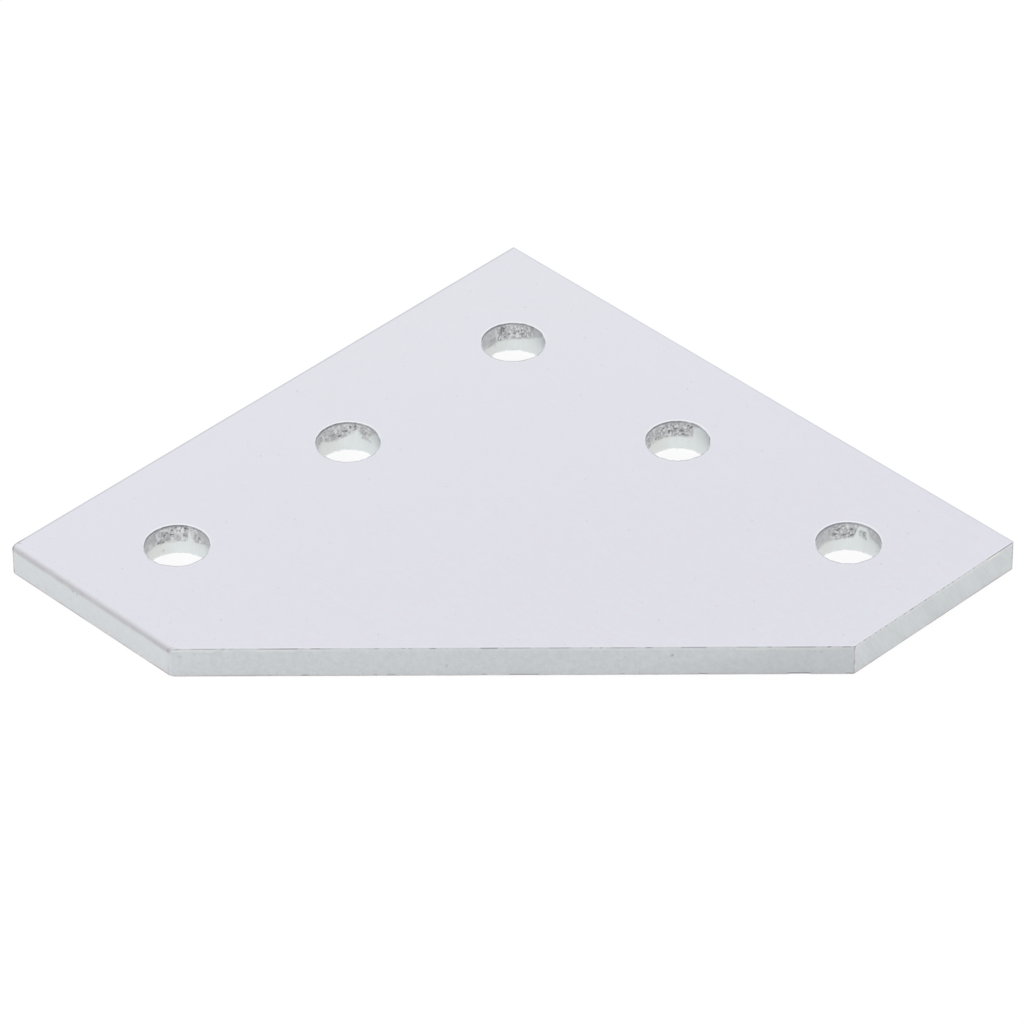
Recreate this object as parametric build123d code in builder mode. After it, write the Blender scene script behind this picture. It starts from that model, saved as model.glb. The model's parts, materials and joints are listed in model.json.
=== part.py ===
from build123d import *
import os

# Corner joining plate for slotted square profile: a flat five-sided plate, cropped from strip and
# punched with bolt holes, with a clear anodised finish. The underside, z = 0, seats on the
# profiles. One leg runs along +X and the other along +Y, and the origin lies on the axis of the
# hole at the square corner.

# Plate
thickness = 3.0
hole_pitch = 20.0   # the side of the square profile
holes_per_leg = 3   # the corner hole counts in both legs
edge_distance = 9.9   # from the holes' axes to the outer edges
end_distance = 9.8   # from the last hole's axis to the end of its leg
end_width = 19.6   # of the squared end of each leg

# Sheared edges
underside_roll = 0.1   # radius that the shear left round the lower edge
end_roll = 0.45   # radius on the end of the X leg, which was sheared from above instead

# Punched hole, upwards from the underside, where the punch went in
land_diameter = 5.4   # the smooth wall, which clears an M5 bolt
entry_radius = 0.1   # the rim that the punch drew in
land_top = 1.3   # where the smooth wall ends and the metal tore
tear_flare = 0.08   # how far the torn wall has widened by the upper face, on the radius

leg_end = hole_pitch * (holes_per_leg - 1) + end_distance
diagonal_start = end_width - edge_distance
land_radius = land_diameter / 2
mouth_radius = land_radius + tear_flare

hole_centres = [(0, 0)]
for step in range(1, holes_per_leg):
    hole_centres.append((step * hole_pitch, 0))
    hole_centres.append((0, step * hole_pitch))

# The hole as a punch leaves it: a half section of the empty space, turned about the hole's axis
with BuildPart() as punched_hole:
    with BuildSketch(Plane.XZ):
        with BuildLine():
            rim = RadiusArc(
                (land_radius + entry_radius, 0),
                (land_radius, entry_radius),
                entry_radius,
            )
            land = Line(rim @ 1, (land_radius, land_top))
            tear = Line(land @ 1, (mouth_radius, thickness))
            Polyline(tear @ 1, (0, thickness), (0, 0), rim @ 0)
        make_face()
    revolve(axis=Axis.Z)

with BuildPart() as joining_plate:
    with BuildSketch():
        with BuildLine():
            Polyline(
                (-edge_distance, -edge_distance),
                (leg_end, -edge_distance),
                (leg_end, diagonal_start),
                (diagonal_start, leg_end),
                (-edge_distance, leg_end),
                close=True,
            )
        make_face()
    extrude(amount=thickness)

    lower_edges = joining_plate.edges().group_by(Axis.Z)[0].sort_by(Axis.X)
    fillet(lower_edges[:-1], underside_roll)

    upper_edges = joining_plate.edges().group_by(Axis.Z)[-1].sort_by(Axis.X)
    fillet(upper_edges[-1], end_roll)

    with Locations(*hole_centres):
        add(punched_hole.part, mode=Mode.SUBTRACT)

os.makedirs("parts", exist_ok=True)
joining_plate.part.label = "joining_plate"
export_step(joining_plate.part, "parts/joining_plate.step")
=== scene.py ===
# The looks of the corner joining plate: one closed skin with the CAD plate's outline, holes and
# rolled edges, what the punch and the shear left on the metal, and painted light and shade.
import json
import math
from collections import namedtuple
from itertools import product

import bpy
import numpy as np
from mathutils import Matrix, Vector
from mathutils.geometry import delaunay_2d_cdt


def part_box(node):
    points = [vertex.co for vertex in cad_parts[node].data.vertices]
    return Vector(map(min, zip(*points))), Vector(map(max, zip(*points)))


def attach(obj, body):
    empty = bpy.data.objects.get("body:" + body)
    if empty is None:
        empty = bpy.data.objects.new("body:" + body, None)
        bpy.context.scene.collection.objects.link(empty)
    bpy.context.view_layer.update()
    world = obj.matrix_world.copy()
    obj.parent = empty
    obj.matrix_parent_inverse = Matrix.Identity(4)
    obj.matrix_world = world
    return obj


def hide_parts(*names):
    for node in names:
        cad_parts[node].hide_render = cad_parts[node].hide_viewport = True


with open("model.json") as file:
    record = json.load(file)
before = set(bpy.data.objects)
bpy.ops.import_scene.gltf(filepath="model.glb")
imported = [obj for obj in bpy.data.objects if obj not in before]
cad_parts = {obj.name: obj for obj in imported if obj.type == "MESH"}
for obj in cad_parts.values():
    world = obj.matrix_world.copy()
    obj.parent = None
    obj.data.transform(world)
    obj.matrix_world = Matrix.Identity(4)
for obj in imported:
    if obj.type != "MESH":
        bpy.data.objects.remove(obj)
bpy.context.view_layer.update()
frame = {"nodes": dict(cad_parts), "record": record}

# ---- sizes, in millimetres
MM = 0.001
TINY = 1e-9   # keeps divisions clear of zero
FAR_OFF = 9   # out of reach of any mark
NODE = "joining_plate"
CORNER_SLACK = 0.0005   # how near the end plane a CAD vertex lies that belongs to it
SKIN_DEPTH = 0.012   # the skin lies this far inside the CAD faces, so that its lips stay within them
FACE_SLACK = 0.01   # what is nearer a face than this is on its border

END_ROLL = 0.45   # on the upper edge of the X end, which was sheared from above
BURR_EDGE = 0.02   # on the upper edges of the other sides
UNDERSIDE_ROLL = 0.06   # on the lower edges, of which each side has a share
UPRIGHT_ROUND = 0.04
FACE_BORDER = 0.7   # how far the finely divided border of the upper face reaches in
FACE_SPACING = 3   # between the vertices in the middle of both faces

SEEN_STEP = 0.14   # between the columns of vertices on the cut sides
OTHER_STEP = 0.7   # on the two outer sides
CORNER_REACH = 0.5   # the columns crowd together this near an upright edge
CORNER_COLUMNS = 8
CORNER_CROWDING = 1.6   # 1 would space them evenly
LOWER_ROLL_ROWS, WALL_ROWS, UPPER_ROLL_ROWS = 5, 13, 10
WALL_CROWDING = 0.7   # of the wall's rows towards both edges; 0 would space them evenly
UPPER_BORDER_ROWS = np.array([0.05, 0.12, 0.22, 0.4, FACE_BORDER])   # how far in from the edge
LOWER_BORDER_ROWS = np.array([0.8, 0.4])

FINE_WALL = (120, 330)   # degrees: this stretch of each hole's wall is divided finely
FINE_COLUMNS, COARSE_COLUMNS = 180, 66
RIM_ROWS, SMOOTH_ROWS, TORN_ROWS = 4, 5, 34
RIM_ROLL = 0.1   # the rim that the punch drew in, on the underside
RIM_BREAK = 0.04   # on the upper rim
TEAR_FLARE = 0.06   # how far the torn wall has widened by the upper face
TORN_FROM = 0.95   # the lowest that a tear reaches
UPPER_RIM_ROWS = np.array([0.0, 0.03, 0.07, 0.12, 0.2, 0.35])   # how far out from the rim they lie
LOWER_RIM_ROW = 0.4

low, high = (np.array(corner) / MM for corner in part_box(NODE))
thickness = high[2] - low[2]
bores = [mount for mount in frame["record"]["mounts"] if mount["kind"] == "bore"]
cad_points = np.array([vertex.co for vertex in frame["nodes"][NODE].data.vertices]) / MM
on_x_end = cad_points[:, 0] > high[0] - CORNER_SLACK
end_width = cad_points[on_x_end, 1].max() - low[1]

# Anticlockwise from the square corner. A side has the number of its first corner.
outline = np.array([
    (low[0], low[1]),
    (high[0], low[1]),
    (high[0], low[1] + end_width),
    (low[0] + end_width, high[1]),
    (low[0], high[1]),
])
X_OUTER, X_END, DIAGONAL, Y_END, Y_OUTER = range(5)
runs = np.roll(outline, -1, axis=0) - outline
lengths = np.linalg.norm(runs, axis=1)
inward = np.stack([-runs[:, 1], runs[:, 0]], axis=1) / lengths[:, None]
CUT_SIDES = (X_END, DIAGONAL, Y_END)

# ---- what each hole's wall shows
# Angles are in degrees about the hole's axis, from +X towards +Y, and heights in millimetres.
# line: where the smooth wall ends and the torn metal starts; above the upper face there is no tear.
# strength: how rough the torn metal is. Both follow BACK_LINE and BACK_STRENGTH on the hidden half.
# patches: torn places apart from the rest, (from, to, bottom, top, strength).
# crevices: clefts with painted shade, from one point to another. flecks: small facets with painted
# highlights.
# pits: dark dots on the smooth wall.
# coarse: the size of the tear's facets beside those of the finest tear.
Tear = namedtuple("Tear", "line strength patches crevices flecks pits coarse")
BACK_LINE = {330: 1.5, 20: 1.3, 70: 1.45, 110: 1.25}
BACK_STRENGTH = {330: 0.9, 20: 0.8, 70: 1, 120: 0.8}
TEARS = {}
TEARS["corner_hole"] = Tear(
    line={150: 3.1, 163: 2.6, 176: 2.15, 184: 2.0, 188: 1.8, 195: 1.6, 202: 1.42, 215: 1.35, 228: 1.3,
        240: 1.25, 255: 1.2, 265: 1.1, 276: 1.1, 287: 1.25, 302: 1.6},
    strength={150: 0.1, 180: 0.2, 185: 0.5, 190: 1, 255: 1, 262: 0.3, 285: 0.2, 300: 0.5},
    patches=[(262, 272, 1.6, 2.3, 0.5)],
    crevices=[(222, 1.84, 235, 1.8), (247, 2.1, 252, 1.95), (194, 1.74, 197, 1.66), (205, 2.2, 208, 1.9),
        (215, 2.1, 216, 1.9), (240, 1.55, 246, 1.5)],
    flecks=[(212, 1.65), (215, 2.4), (228, 2.5), (250, 1.65), (203, 1.9), (199, 2.3), (252, 1.5),
        (207, 2.1), (209, 2.5), (195, 1.75), (218, 1.9), (213, 2.1), (232, 2.05)],
    pits=[(262, 1.0)],
    coarse=1.35,
)
TEARS["x_inner_hole"] = Tear(
    line={150: 3.1, 172: 2.6, 182: 2.1, 187: 1.85, 194: 1.75, 201: 1.85, 207: 2.3, 212: 2.3, 215: 1.95,
        221: 1.8, 226: 1.7, 231: 1.5, 240: 1.3, 250: 1.15, 257: 1.25, 265: 1.4, 271: 1.5, 276: 1.8,
        288: 1.9, 302: 1.6},
    strength={150: 0.2, 176: 0.4, 186: 0.8, 200: 0.7, 208: 1, 272: 1, 280: 0.8, 300: 0.7},
    patches=[(184, 199, 1.42, 1.8, 0.4)],
    crevices=[(240, 1.62, 244, 1.58), (270, 2.2, 273, 2.0), (282, 2.4, 286, 2.2), (229, 2.0, 236, 2.05),
        (222, 2.5, 224, 2.2), (212, 2.7, 214, 2.5), (252, 1.9, 258, 1.85)],
    flecks=[(225, 2.3), (226, 2.45), (211, 2.2), (211, 2.05), (206, 2.4), (240, 2.4), (266, 1.9),
        (213, 1.95), (223, 2.15), (208, 2.25), (262, 1.6), (276, 2.1)],
    pits=[(150, 1.1)],
    coarse=1.2,
)
TEARS["x_outer_hole"] = Tear(
    line={150: 2.2, 170: 1.9, 183: 1.55, 195: 1.45, 198: 1.6, 202.5: 2.5, 205: 2.72, 207: 2.65,
        208.5: 1.5, 215: 1.35, 225: 1.3, 237: 1.25, 246: 1.25, 255: 1.3, 265: 1.4, 281: 1.4, 300: 1.5},
    strength={150: 0.2, 183: 0.7, 198: 0.7, 209: 1, 262: 1, 274: 0.5, 283: 0.35, 308: 0.3},
    patches=[],
    crevices=[(207, 2.68, 213, 2.6), (228, 2.74, 231, 2.66), (233, 2.02, 240, 1.98),
        (243, 2.35, 253, 1.95), (236, 2.5, 238, 2.44), (189, 2.4, 194, 1.9), (185, 2.1, 188, 1.7),
        (222, 2.4, 226, 2.45)],
    flecks=[(205, 2.5), (204.5, 2.3), (203.5, 2.1), (203, 1.9), (202, 1.7), (225, 2.3), (232, 2.45),
        (258, 2.3), (264, 1.8), (197, 2.3), (192, 1.95), (199, 2.0), (268, 1.6)],
    pits=[(254, 0.5), (275, 0.4)],
    coarse=1.3,
)
TEARS["y_inner_hole"] = Tear(
    line={150: 3.1, 172: 3.1, 180: 2.9, 195: 2.6, 196.5: 1.45, 205: 1.4, 225: 1.4, 236: 1.35, 246: 1.35,
        256: 1.3, 263: 1.3, 269: 1.4, 276: 1.4, 286: 1.3, 300: 1.45},
    strength={150: 0.1, 178: 0.4, 194: 0.5, 196.5: 0.85, 288: 0.85, 305: 0.5},
    patches=[],
    crevices=[(198, 2.6, 203, 2.3), (226, 2.15, 232, 2.1), (215, 1.9, 220, 2.0), (206, 1.62, 216, 1.6),
        (250, 2.4, 254, 2.2), (205, 2.6, 207, 2.4), (262, 1.7, 268, 1.65), (238, 1.9, 242, 2.1)],
    flecks=[(193, 2.3), (193, 2.1), (193, 1.9), (193, 1.7), (240, 2.3), (228, 2.4), (210, 2.3),
        (220, 1.7), (246, 1.7)],
    pits=[(205, 0.9), (243, 0.45)],
    coarse=1,
)
TEARS["y_outer_hole"] = Tear(
    line={150: 2.2, 165: 1.9, 180: 2.0, 185: 2.6, 188: 2.9, 200: 2.85, 205: 2.6, 211: 1.7, 214: 1.45,
        221: 1.35, 231: 1.3, 238: 1.25, 246: 1.3, 256: 1.35, 290: 1.35, 308: 1.5},
    strength={150: 0.1, 204: 0.5, 213: 0.7, 230: 0.9, 247: 0.9, 254: 0.4, 300: 0.3},
    patches=[(190, 197, 1.5, 2.35, 1)],
    crevices=[(216, 2.3, 222, 2.1), (226, 1.7, 232, 1.65), (238, 2.4, 243, 2.2), (230, 2.6, 236, 2.55),
        (244, 1.9, 249, 1.8), (214, 1.7, 218, 1.62)],
    flecks=[(224, 2.4), (235, 2.0), (218, 1.9), (246, 2.2), (240, 1.5), (232, 2.4), (222, 2.1)],
    pits=[(177, 0.8), (157, 1.2), (163, 1.05), (151, 2.8), (155, 2.7), (149, 2.5), (156, 1.7)],
    coarse=1.15,
)

# Alike in all the holes: painted light on one side of the smooth wall, painted shade on the wall
# and inside the upper rim, and the painted shine of the burr.
WALL_PAINTED_LIGHT = {235: 0, 262: 0.35, 300: 0.4, 330: 0}
WALL_SHADE = {150: 0.4, 172: 0.32, 192: 0.2, 210: 0.06, 225: 0.0, 245: 0.06, 262: 0.16, 275: 0.2,
              300: 0.3, 45: 0.2}
RIM_SHADE = {150: 0.6, 200: 0.5, 235: 0.6, 250: 0.8, 300: 0.8, 330: 0.4, 90: 0.4}
BURR_SHINE = {45: 0.0, 100: 0.1, 135: 0.6, 180: 0.9, 225: 1, 270: 0.9, 315: 0.6, 350: 0.1}

# ---- what each cut side shows
# Distances run from the side's first corner, in millimetres.
# dark: stretches where the painted shadow line under the upper edge is strong, (start, end, strength).
# cream: pale stretches of bare metal and painted highlight under that edge.
# foot: stretches where the painted shadow along the lower edge is darker.
# pits: (distance, height, radius) of small dents in the face.
# even: how far the face lacks mottling. combed: how strongly it shows the blade's lines.
Cut = namedtuple("Cut", "dark cream foot pits even combed")
CUTS = {}
CUTS[X_END] = Cut(
    dark=[],
    cream=[],
    foot=[(0.2, 3, 0.2), (5, 9, 0.3), (12, 15, 0.2), (17, 19.4, 0.3)],
    pits=[(7.55, 2.24, 0.09), (8.05, 2.3, 0.06), (7.8, 2.2, 0.05)],
    even=0.5,
    combed=0.05,
)
CUTS[DIAGONAL] = Cut(
    dark=[(0, 0.5, 0.7), (1.5, 3.5, 0.6), (3.9, 4.25, 0.7), (4.7, 4.9, 0.6), (7.1, 8.7, 0.6),
        (8.7, 10.3, 1), (10.5, 10.8, 0.4), (11.4, 12.2, 0.9), (12.2, 13.1, 0.4), (16.8, 16.9, 0.9),
        (19.05, 19.15, 0.9), (19.6, 19.7, 0.9), (21.4, 21.8, 0.9), (25.6, 27, 0.9), (27.6, 29.6, 0.4),
        (31.3, 33, 0.5), (34.7, 34.8, 0.8), (35.6, 35.7, 0.8), (36.4, 38.4, 0.5), (39.4, 39.8, 0.9),
        (42.3, 44.3, 0.8), (47, 48.6, 0.4), (49.5, 49.8, 0.6), (51, 53.4, 0.5), (54.5, 54.7, 1),
        (55.8, 56.4, 0.6)],
    cream=[(0, 3.5, 0.4), (7.3, 10.2, 0.5), (11.4, 12.2, 0.4), (47, 55, 0.3)],
    foot=[(2.7, 7.6, 0.22), (8.1, 8.3, 0.8), (10.8, 11.4, 0.8), (16.8, 17.1, 0.9), (18, 18.6, 0.9),
        (25.8, 26.2, 0.9), (28.2, 30.5, 0.8), (37.3, 37.6, 0.7), (43.9, 44.5, 0.9), (51.3, 53, 1),
        (56, 56.6, 0.9)],
    pits=[(0.8, 2.07, 0.05), (41.6, 2.05, 0.1), (44.1, 1.5, 0.04), (49.7, 1.3, 0.05), (32, 1.7, 0.05),
        (33.9, 2.3, 0.04), (22.9, 1, 0.04), (47.2, 0.9, 0.04), (54, 2.4, 0.05)],
    even=0.1,
    combed=0,
)
CUTS[Y_END] = Cut(
    dark=[(6.9, 7.2, 1), (16.3, 19.4, 1)],
    cream=[(16.6, 17.7, 0.9), (11.4, 13, 0.3)],
    foot=[(2, 4, 0.15), (6, 7, 0.2), (9, 12, 0.1), (14, 19.3, 0.2)],
    pits=[(4.25, 0.8, 0.05), (0.5, 0.6, 0.05)],
    even=0.3,
    combed=0.75,
)
SCRIBE_SPACING = 0.6   # between the small dark nicks along the upper edge of the Y end
SCRIBE_END = 16   # how far along it they go
NOTCH = (51.3, 53, 0.16)   # from, to, height: in the lower edge of the diagonal
NOTCH_DEPTH = 0.05

# Lay of the marks that the blades left, in degrees from the plane of the plate.
LAY = {X_OUTER: 0, X_END: 40, DIAGONAL: 90, Y_END: -58, Y_OUTER: 0}
LAY_SPREAD = 40.0   # keeps the marks of each side apart from the next side's

# Each side's share of UNDERSIDE_ROLL.
LOWER_ROLL_SHARE = {X_OUTER: 1, X_END: 0.2, DIAGONAL: 0.6, Y_END: 0.2, Y_OUTER: 1}

# Small flats knocked off the lower ends of the upright edges: (corner, inward lean, depth).
KNOCKS = [(DIAGONAL, 0.75, 0.09), (X_END, 0.6, 0.1), (Y_END, 0.6, 0.05), (Y_OUTER, 0.6, 0.04)]

# Dark streaks by the upright edges: (corner, how far short of it, strength, heights of painted
# highlights).
UPRIGHTS = [
    (X_END, -0.07, 0.5, ()),
    (DIAGONAL, 0.36, 0.12, ()),
    (Y_END, -0.03, 0.5, (2.4, 0.65)),
    (Y_OUTER, 0.07, 0.45, ()),
]

# ---- small maths
SEED_STRIDE = 7.31   # cells between the noises of neighbouring seeds
lattice = np.random.default_rng(11).uniform(-1, 1, (32, 32, 32))


def grain(points, size, seed=0):
    """Smooth noise between -1 and 1 at points, in millimetres, with features about size across."""
    place = points / np.asarray(size, float) + SEED_STRIDE * (seed + 1)
    cell = np.floor(place).astype(int)
    part = place - cell
    part = part * part * (3 - 2 * part)
    total = np.zeros(points.shape[:-1])
    for corner in product((0, 1), repeat=3):
        weight = np.prod(np.where(corner, part, 1 - part), axis=-1)
        index = (cell + corner) % len(lattice)
        total += weight * lattice[index[..., 0], index[..., 1], index[..., 2]]
    return total


def smooth(start, end, value):
    """0 before start and 1 after end, smooth between them."""
    part = np.clip((value - start) / (end - start), 0, 1)
    return part * part * (3 - 2 * part)


def fall(start, end, value):
    """1 before start and 0 after end, smooth between them."""
    return smooth(end, start, value)


def stretches(along, parts, soften=0.08):
    """The strength of stretches (start, end, strength) at each distance along."""
    total = np.zeros_like(along)
    for start, end, strength in parts:
        inside = smooth(start - soften, start, along) * (1 - smooth(end, end + soften, along))
        total = np.maximum(total, strength * inside)
    return total


def around(angle, values):
    """The value at each angle, from a table of angle: value."""
    turns = sorted(values)
    return np.interp(angle, turns, [values[turn] for turn in turns], period=360)


def stroke(across, up, start, end, radius):
    """1 within radius of the line from start to end, fading to 0 past it."""
    first, last = np.array(start), np.array(end)
    run = last - first
    offset = np.stack([across - first[0], up - first[1]], axis=-1)
    part = np.clip(offset @ run / max(run @ run, TINY), 0, 1)
    gap = np.linalg.norm(offset - part[..., None] * run, axis=-1)
    return 1 - smooth(0.4 * radius, 1.6 * radius, gap)


def quarter_round(radius, rows):
    """(rises, insets) of a rounding that starts level, radius in, and ends upright."""
    turn = np.radians(np.linspace(0, 90, rows))
    return radius * (1 - np.cos(turn)), radius * (1 - np.sin(turn))


# ---- the skin
PAINTS = ("tear", "grit", "dark", "bright", "cream", "cleft", "warm", "even", "combed")
FACE, CUT, BORE = range(3)   # material slots
SHARP_ANGLE = 38   # degrees: edges that turn more are shaded sharp
INSIDE_OUTER_LOOP = 1   # what the triangulation fills
SAME_POINT = 1e-7


def add_object(name, data):
    """A new object in the scene."""
    made = bpy.data.objects.new(name, data)
    bpy.context.scene.collection.objects.link(made)
    return made


class Skin:
    """Gathers closed strips and faces, and makes one mesh of them."""

    def __init__(self):
        self.points, self.paints, self.lays, self.faces, self.slots = [], [], [], [], []
        self.count = 0

    def add_points(self, points, paint=None, lay=None):
        """Adds points, shaped (..., 3), and returns their indices in the same shape."""
        flat = points.reshape(-1, 3)
        index = np.arange(self.count, self.count + len(flat)).reshape(points.shape[:-1])
        self.count += len(flat)
        self.points.append(flat)
        plain = np.zeros(len(flat))
        self.paints.append([plain if paint is None else paint[name].ravel() for name in PAINTS])
        self.lays.append(np.zeros((len(flat), 3)) if lay is None else lay.reshape(-1, 3))
        return index

    def add_strip(self, index, slots, inward=False):
        """Quads between the rows of index, closed round the columns."""
        following = np.roll(index, -1, axis=1)
        corners = [index[:-1], following[:-1], following[1:], index[1:]]
        quads = np.stack(corners, axis=-1).reshape(-1, 4)
        self.faces.extend(map(tuple, (quads[:, ::-1] if inward else quads).tolist()))
        self.slots.extend(np.broadcast_to(slots, index[:-1].shape).ravel().tolist())

    def add_face(self, loops, spots, upward):
        """Triangles between the outer loop and the holes' loops, through the spots."""
        index = np.concatenate([*loops, spots])
        corners = [Vector(point) for point in np.concatenate(self.points)[index, :2]]
        edges, owner = [], []   # owner: which loop each point is on
        for number, loop in enumerate(loops):
            ring = np.arange(len(owner), len(owner) + len(loop))
            edges.extend(zip(ring.tolist(), np.roll(ring, -1).tolist()))
            owner.extend([number] * len(loop))
        owner = np.array(owner + [-1] * len(spots))
        found = delaunay_2d_cdt(corners, edges, [], INSIDE_OUTER_LOOP, SAME_POINT)
        source = np.array([origin[0] for origin in found[3]])
        for triangle in found[2]:
            chosen = source[triangle if upward else triangle[::-1]]
            in_hole = owner[chosen[0]] > 0 and np.ptp(owner[chosen]) == 0
            if not in_hole:
                self.faces.append(tuple(index[chosen].tolist()))
                self.slots.append(FACE)

    def mesh(self, name, materials):
        """One mesh object of all that was added, in metres."""
        data = bpy.data.meshes.new(name)
        points = np.concatenate(self.points) * MM
        data.from_pydata(points.tolist(), [], self.faces)
        for material in materials:
            data.materials.append(material)
        data.polygons.foreach_set("material_index", self.slots)
        data.polygons.foreach_set("use_smooth", [True] * len(self.faces))
        for paint, values in zip(PAINTS, np.concatenate(self.paints, axis=1)):
            layer = data.attributes.new(paint, "FLOAT", "POINT")
            layer.data.foreach_set("value", values)
        layer = data.attributes.new("lay", "FLOAT_VECTOR", "POINT")
        layer.data.foreach_set("vector", np.concatenate(self.lays).ravel())
        data.update()
        data.set_sharp_from_angle(angle=math.radians(SHARP_ANGLE))
        return add_object(name, data)


class Grid:
    """Rows and columns of vertices: their paints, and how far they are pushed out and lifted."""

    def __init__(self, up):
        self.up = up
        self.below = thickness - up   # the upper face
        self.paint = {name: np.zeros(up.shape) for name in PAINTS}
        self.push = np.zeros(up.shape)
        self.lift = np.zeros(up.shape)

    def add(self, where, **paints):
        """Adds to the paints."""
        for name, strength in paints.items():
            self.paint[name] += where * strength

    def spread(self, where, **paints):
        """Lays paints over what is weaker."""
        for name, strength in paints.items():
            self.paint[name] = np.maximum(self.paint[name], where * strength)

    def worn_height(self):
        """The lifted heights, with the upper face in by the skin's depth."""
        return self.up + self.lift - np.where(self.up > thickness / 2, SKIN_DEPTH, 0)


# ---- the shape of the sides
def side_rows():
    """(heights, insets) of the rows, from underside to upper face. Each side has its own insets."""
    lower_height, lower_inset = quarter_round(UNDERSIDE_ROLL, LOWER_ROLL_ROWS)
    roll_inset, roll_drop = quarter_round(END_ROLL, UPPER_ROLL_ROWS)
    part = np.linspace(0, 1, WALL_ROWS + 2)[1:-1]
    eased = part - WALL_CROWDING * np.sin(2 * np.pi * part) / (2 * np.pi)
    wall_height = UNDERSIDE_ROLL + eased * (thickness - END_ROLL - UNDERSIDE_ROLL)
    burr_turn = np.clip((BURR_EDGE - roll_drop) / BURR_EDGE, 0, 1)
    burr_inset = BURR_EDGE * (1 - np.sqrt(1 - burr_turn ** 2))
    heights = np.concatenate([
        0 * LOWER_BORDER_ROWS, lower_height, wall_height, thickness - roll_drop,
        thickness + 0 * UPPER_BORDER_ROWS,
    ])
    insets = []
    for side in range(len(outline)):
        edge, edge_inset = (END_ROLL, roll_inset) if side == X_END else (BURR_EDGE, burr_inset)
        lower = lower_inset * LOWER_ROLL_SHARE[side]
        upper = edge + UPPER_BORDER_ROWS
        insets.append([*LOWER_BORDER_ROWS, *lower, *(0 * wall_height), *edge_inset, *upper])
    return heights, np.array(insets) + SKIN_DEPTH


def stations(length, step):
    """Distances along a side, crowded near both corners, without the last."""
    crowd = CORNER_REACH * (np.arange(CORNER_COLUMNS) / CORNER_COLUMNS) ** CORNER_CROWDING
    count = round((length - 2 * CORNER_REACH) / step) + 1
    middle = np.linspace(CORNER_REACH, length - CORNER_REACH, count)
    return np.concatenate([crowd, middle, length - crowd[:0:-1]])


def offset_corners(insets):
    """Where the lines that lie insets inside the sides meet: [corner, row] -> x, y."""
    met = np.empty((*insets.shape, 2))
    for corner in range(len(outline)):
        planes = np.array([inward[corner - 1], inward[corner]])
        reach = planes @ outline[corner]
        offsets = np.stack([insets[corner - 1], insets[corner]])
        met[corner] = np.linalg.solve(planes, reach[:, None] + offsets).T
    return met


def side_columns(heights, insets):
    """(points, along, sides): the plain sides' points, and where along which side each column is."""
    met = offset_corners(insets)
    points, along, sides = [], [], []
    for side, length in enumerate(lengths):
        places = stations(length, SEEN_STEP if side in CUT_SIDES else OTHER_STEP)
        part = places / length
        start, end = met[side], met[(side + 1) % len(outline)]
        flat = start[:, None] + part[None, :, None] * (end - start)[:, None]
        points.append(np.dstack([flat, np.repeat(heights[:, None], len(places), axis=1)]))
        along.append(places)
        sides.append(np.full(len(places), side))
    return np.concatenate(points, axis=1), np.concatenate(along), np.concatenate(sides)


def corner_bisector(corner):
    """The inward direction halfway between the sides at a corner, and half their angle."""
    before = -runs[corner - 1] / lengths[corner - 1]
    after = runs[corner] / lengths[corner]
    bisector = (before + after) / np.linalg.norm(before + after)
    return bisector, math.acos(bisector @ after)


def round_uprights(points):
    """Rounds the upright edges."""
    for corner, place in enumerate(outline):
        bisector, half = corner_bisector(corner)
        centre = place + bisector * ((UPRIGHT_ROUND + SKIN_DEPTH) / math.sin(half))
        offset = points[..., :2] - centre
        gap = np.linalg.norm(offset, axis=-1)
        beyond = (-(offset @ bisector) > gap * math.sin(half)) & (gap > UPRIGHT_ROUND)
        pulled = centre + offset * (UPRIGHT_ROUND / np.maximum(gap, TINY))[..., None]
        points[..., :2] = np.where(beyond[..., None], pulled, points[..., :2])
    return points


def knock_corners(points):
    """Flattens the lower ends of the upright edges."""
    for corner, lean, depth in KNOCKS:
        bisector, _ = corner_bisector(corner)
        normal = np.array([*(-bisector * lean), -math.sqrt(1 - lean ** 2)])
        past = (points - [*outline[corner], 0]) @ normal + depth
        points -= np.where(past > 0, past, 0)[..., None] * normal
    return points


class SideGrid(Grid):
    """The vertices round the plate's sides."""

    def __init__(self):
        self.heights, insets = side_rows()
        points, self.along, self.sides = side_columns(self.heights, insets)
        self.points = knock_corners(round_uprights(points))
        super().__init__(self.points[..., 2])
        self.inset = np.take(insets, self.sides, axis=0).T
        self.from_end = np.minimum(self.along, lengths[self.sides] - self.along)
        self.is_cut = np.isin(self.sides, CUT_SIDES)
        self.is_wall = (self.up > FACE_SLACK) & (self.below > FACE_SLACK)
        self.calm = smooth(0.05, 0.4, self.from_end)   # dents die away at the upright edges
        level = self.points * (1, 1, 0)
        self.wander = grain(level, 1.3, 2) + 0.6 * grain(level, 0.4, 3)

    def worn_points(self):
        """The points, pushed and lifted."""
        level = self.points[..., :2] - self.push[..., None] * inward[self.sides]
        return np.dstack([level, self.worn_height()])

    def lay(self):
        """Distances along and across the blade's marks."""
        lean = np.radians([LAY[side] for side in self.sides])
        up = self.worn_height()
        return np.stack([
            self.along * np.cos(lean) + up * np.sin(lean),
            up * np.cos(lean) - self.along * np.sin(lean),
            self.sides * LAY_SPREAD + 0 * up,
        ], axis=-1)


# ---- the wear of the sides, and the light and shade painted on them
UNEVENNESS = 0.012
EDGE_LINE = (0.08, 0.17)   # depths at which the painted shadow line under a sharp upper edge goes out
PALE_TOP, PALE_FOOT = (0.13, 0.19), (0.3, 0.4)   # depths at which the pale band, with a little painted highlight, comes in and goes out
LIP_REACH = (0.08, 0.2)   # how far in the painted highlight on the lip of the upper face goes out
FOOT_LINE = (0.08, 0.18)   # heights at which the tinged line of painted shadow along the lower edge goes out


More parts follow.
